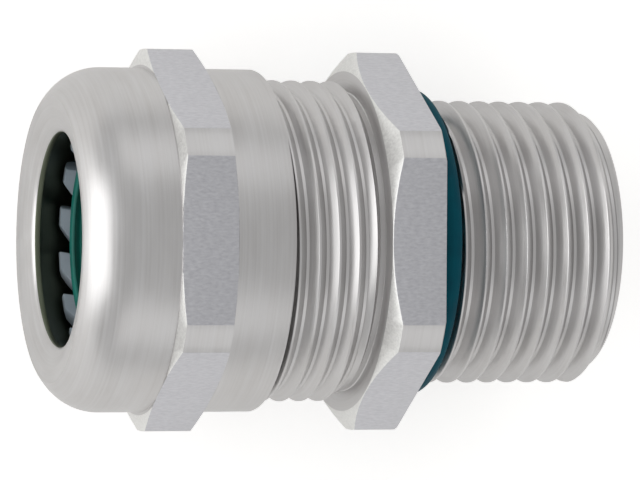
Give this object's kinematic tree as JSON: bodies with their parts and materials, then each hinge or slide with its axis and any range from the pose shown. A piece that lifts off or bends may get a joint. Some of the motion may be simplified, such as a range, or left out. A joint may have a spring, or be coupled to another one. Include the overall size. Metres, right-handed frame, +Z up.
{
  "type": "cable gland",
  "caption": "Metal cable gland: domed cap nut with a clamping cage and rubber seal inside, hexagon body and threaded entry end with a sealing ring.",
  "frame": {"origin": "on the gland's axis, halfway between the cap nut's front and the end of the entry thread", "axes": "+X along the gland's axis from the cap nut to the entry thread, +Z up out of one flat of both hexagons, with the gland lying on the opposite flats"},
  "size_m": [0.0394, 0.0266, 0.024],
  "materials": {
    "stainless_steel": "turned and milled, satin",
    "grey_polyamide": "moulded, matt",
    "green_elastomer": "moulded, satin",
    "teal_elastomer": "moulded, satin"
  },
  "bodies": {
    "gland": {"gland_body": "stainless_steel", "entry_o_ring": "teal_elastomer"},
    "insert": {"cage_ring": "grey_polyamide", "sealing_insert": "green_elastomer"},
    "cap": {"cap_nut": "stainless_steel"},
    "lamella_01": {"lamella_01": "grey_polyamide"},
    "lamella_02": {"lamella_02": "grey_polyamide"},
    "lamella_03": {"lamella_03": "grey_polyamide"},
    "lamella_04": {"lamella_04": "grey_polyamide"},
    "lamella_05": {"lamella_05": "grey_polyamide"},
    "lamella_06": {"lamella_06": "grey_polyamide"},
    "lamella_07": {"lamella_07": "grey_polyamide"},
    "lamella_08": {"lamella_08": "grey_polyamide"},
    "lamella_09": {"lamella_09": "grey_polyamide"},
    "lamella_10": {"lamella_10": "grey_polyamide"},
    "lamella_11": {"lamella_11": "grey_polyamide"},
    "lamella_12": {"lamella_12": "grey_polyamide"},
    "lamella_13": {"lamella_13": "grey_polyamide"},
    "lamella_14": {"lamella_14": "grey_polyamide"},
    "lamella_15": {"lamella_15": "grey_polyamide"},
    "lamella_16": {"lamella_16": "grey_polyamide"}
  },
  "joints": [
    {"name": "insert_slide", "type": "slide", "parent": "gland", "child": "insert", "axis": [1, 0, 0], "range_m": [-0.00142, 0.00424]},
    {"name": "cap_turn", "type": "hinge", "parent": "insert", "child": "cap", "pos_m": [-0.0197, 0, 0], "axis": [1, 0, 0], "range_deg": [-360, 1080]},
    {"name": "lamella_01_flex", "type": "hinge", "parent": "insert", "child": "lamella_01", "pos_m": [-0.01055, 0, 0.0082], "axis": [0, -1, 0], "range_deg": [-2.4, 7.1]},
    {"name": "lamella_02_flex", "type": "hinge", "parent": "insert", "child": "lamella_02", "pos_m": [-0.01055, -0.00314, 0.00758], "axis": [0, -0.9239, -0.3827], "range_deg": [-2.4, 7.1]},
    {"name": "lamella_03_flex", "type": "hinge", "parent": "insert", "child": "lamella_03", "pos_m": [-0.01055, -0.0058, 0.0058], "axis": [0, -0.7071, -0.7071], "range_deg": [-2.4, 7.1]},
    {"name": "lamella_04_flex", "type": "hinge", "parent": "insert", "child": "lamella_04", "pos_m": [-0.01055, -0.00758, 0.00314], "axis": [0, -0.3827, -0.9239], "range_deg": [-2.4, 7.1]},
    {"name": "lamella_05_flex", "type": "hinge", "parent": "insert", "child": "lamella_05", "pos_m": [-0.01055, -0.0082, 0], "axis": [0, 0, -1], "range_deg": [-2.4, 7.1]},
    {"name": "lamella_06_flex", "type": "hinge", "parent": "insert", "child": "lamella_06", "pos_m": [-0.01055, -0.00758, -0.00314], "axis": [0, 0.3827, -0.9239], "range_deg": [-2.4, 7.1]},
    {"name": "lamella_07_flex", "type": "hinge", "parent": "insert", "child": "lamella_07", "pos_m": [-0.01055, -0.0058, -0.0058], "axis": [0, 0.7071, -0.7071], "range_deg": [-2.4, 7.1]},
    {"name": "lamella_08_flex", "type": "hinge", "parent": "insert", "child": "lamella_08", "pos_m": [-0.01055, -0.00314, -0.00758], "axis": [0, 0.9239, -0.3827], "range_deg": [-2.4, 7.1]},
    {"name": "lamella_09_flex", "type": "hinge", "parent": "insert", "child": "lamella_09", "pos_m": [-0.01055, 0, -0.0082], "axis": [0, 1, 0], "range_deg": [-2.4, 7.1]},
    {"name": "lamella_10_flex", "type": "hinge", "parent": "insert", "child": "lamella_10", "pos_m": [-0.01055, 0.00314, -0.00758], "axis": [0, 0.9239, 0.3827], "range_deg": [-2.4, 7.1]},
    {"name": "lamella_11_flex", "type": "hinge", "parent": "insert", "child": "lamella_11", "pos_m": [-0.01055, 0.0058, -0.0058], "axis": [0, 0.7071, 0.7071], "range_deg": [-2.4, 7.1]},
    {"name": "lamella_12_flex", "type": "hinge", "parent": "insert", "child": "lamella_12", "pos_m": [-0.01055, 0.00758, -0.00314], "axis": [0, 0.3827, 0.9239], "range_deg": [-2.4, 7.1]},
    {"name": "lamella_13_flex", "type": "hinge", "parent": "insert", "child": "lamella_13", "pos_m": [-0.01055, 0.0082, 0], "axis": [0, 0, 1], "range_deg": [-2.4, 7.1]},
    {"name": "lamella_14_flex", "type": "hinge", "parent": "insert", "child": "lamella_14", "pos_m": [-0.01055, 0.00758, 0.00314], "axis": [0, -0.3827, 0.9239], "range_deg": [-2.4, 7.1]},
    {"name": "lamella_15_flex", "type": "hinge", "parent": "insert", "child": "lamella_15", "pos_m": [-0.01055, 0.0058, 0.0058], "axis": [0, -0.7071, 0.7071], "range_deg": [-2.4, 7.1]},
    {"name": "lamella_16_flex", "type": "hinge", "parent": "insert", "child": "lamella_16", "pos_m": [-0.01055, 0.00314, 0.00758], "axis": [0, -0.9239, 0.3827], "range_deg": [-2.4, 7.1]}
  ],
  "couplings": [
    {"joint": "insert_slide", "follows": "cap_turn", "m_per_rad": 0.00022459},
    {"joint": "lamella_01_flex", "follows": "cap_turn", "ratio": 0.0064815},
    {"joint": "lamella_02_flex", "follows": "cap_turn", "ratio": 0.0064815},
    {"joint": "lamella_03_flex", "follows": "cap_turn", "ratio": 0.0064815},
    {"joint": "lamella_04_flex", "follows": "cap_turn", "ratio": 0.0064815},
    {"joint": "lamella_05_flex", "follows": "cap_turn", "ratio": 0.0064815},
    {"joint": "lamella_06_flex", "follows": "cap_turn", "ratio": 0.0064815},
    {"joint": "lamella_07_flex", "follows": "cap_turn", "ratio": 0.0064815},
    {"joint": "lamella_08_flex", "follows": "cap_turn", "ratio": 0.0064815},
    {"joint": "lamella_09_flex", "follows": "cap_turn", "ratio": 0.0064815},
    {"joint": "lamella_10_flex", "follows": "cap_turn", "ratio": 0.0064815},
    {"joint": "lamella_11_flex", "follows": "cap_turn", "ratio": 0.0064815},
    {"joint": "lamella_12_flex", "follows": "cap_turn", "ratio": 0.0064815},
    {"joint": "lamella_13_flex", "follows": "cap_turn", "ratio": 0.0064815},
    {"joint": "lamella_14_flex", "follows": "cap_turn", "ratio": 0.0064815},
    {"joint": "lamella_15_flex", "follows": "cap_turn", "ratio": 0.0064815},
    {"joint": "lamella_16_flex", "follows": "cap_turn", "ratio": 0.0064815}
  ]
}
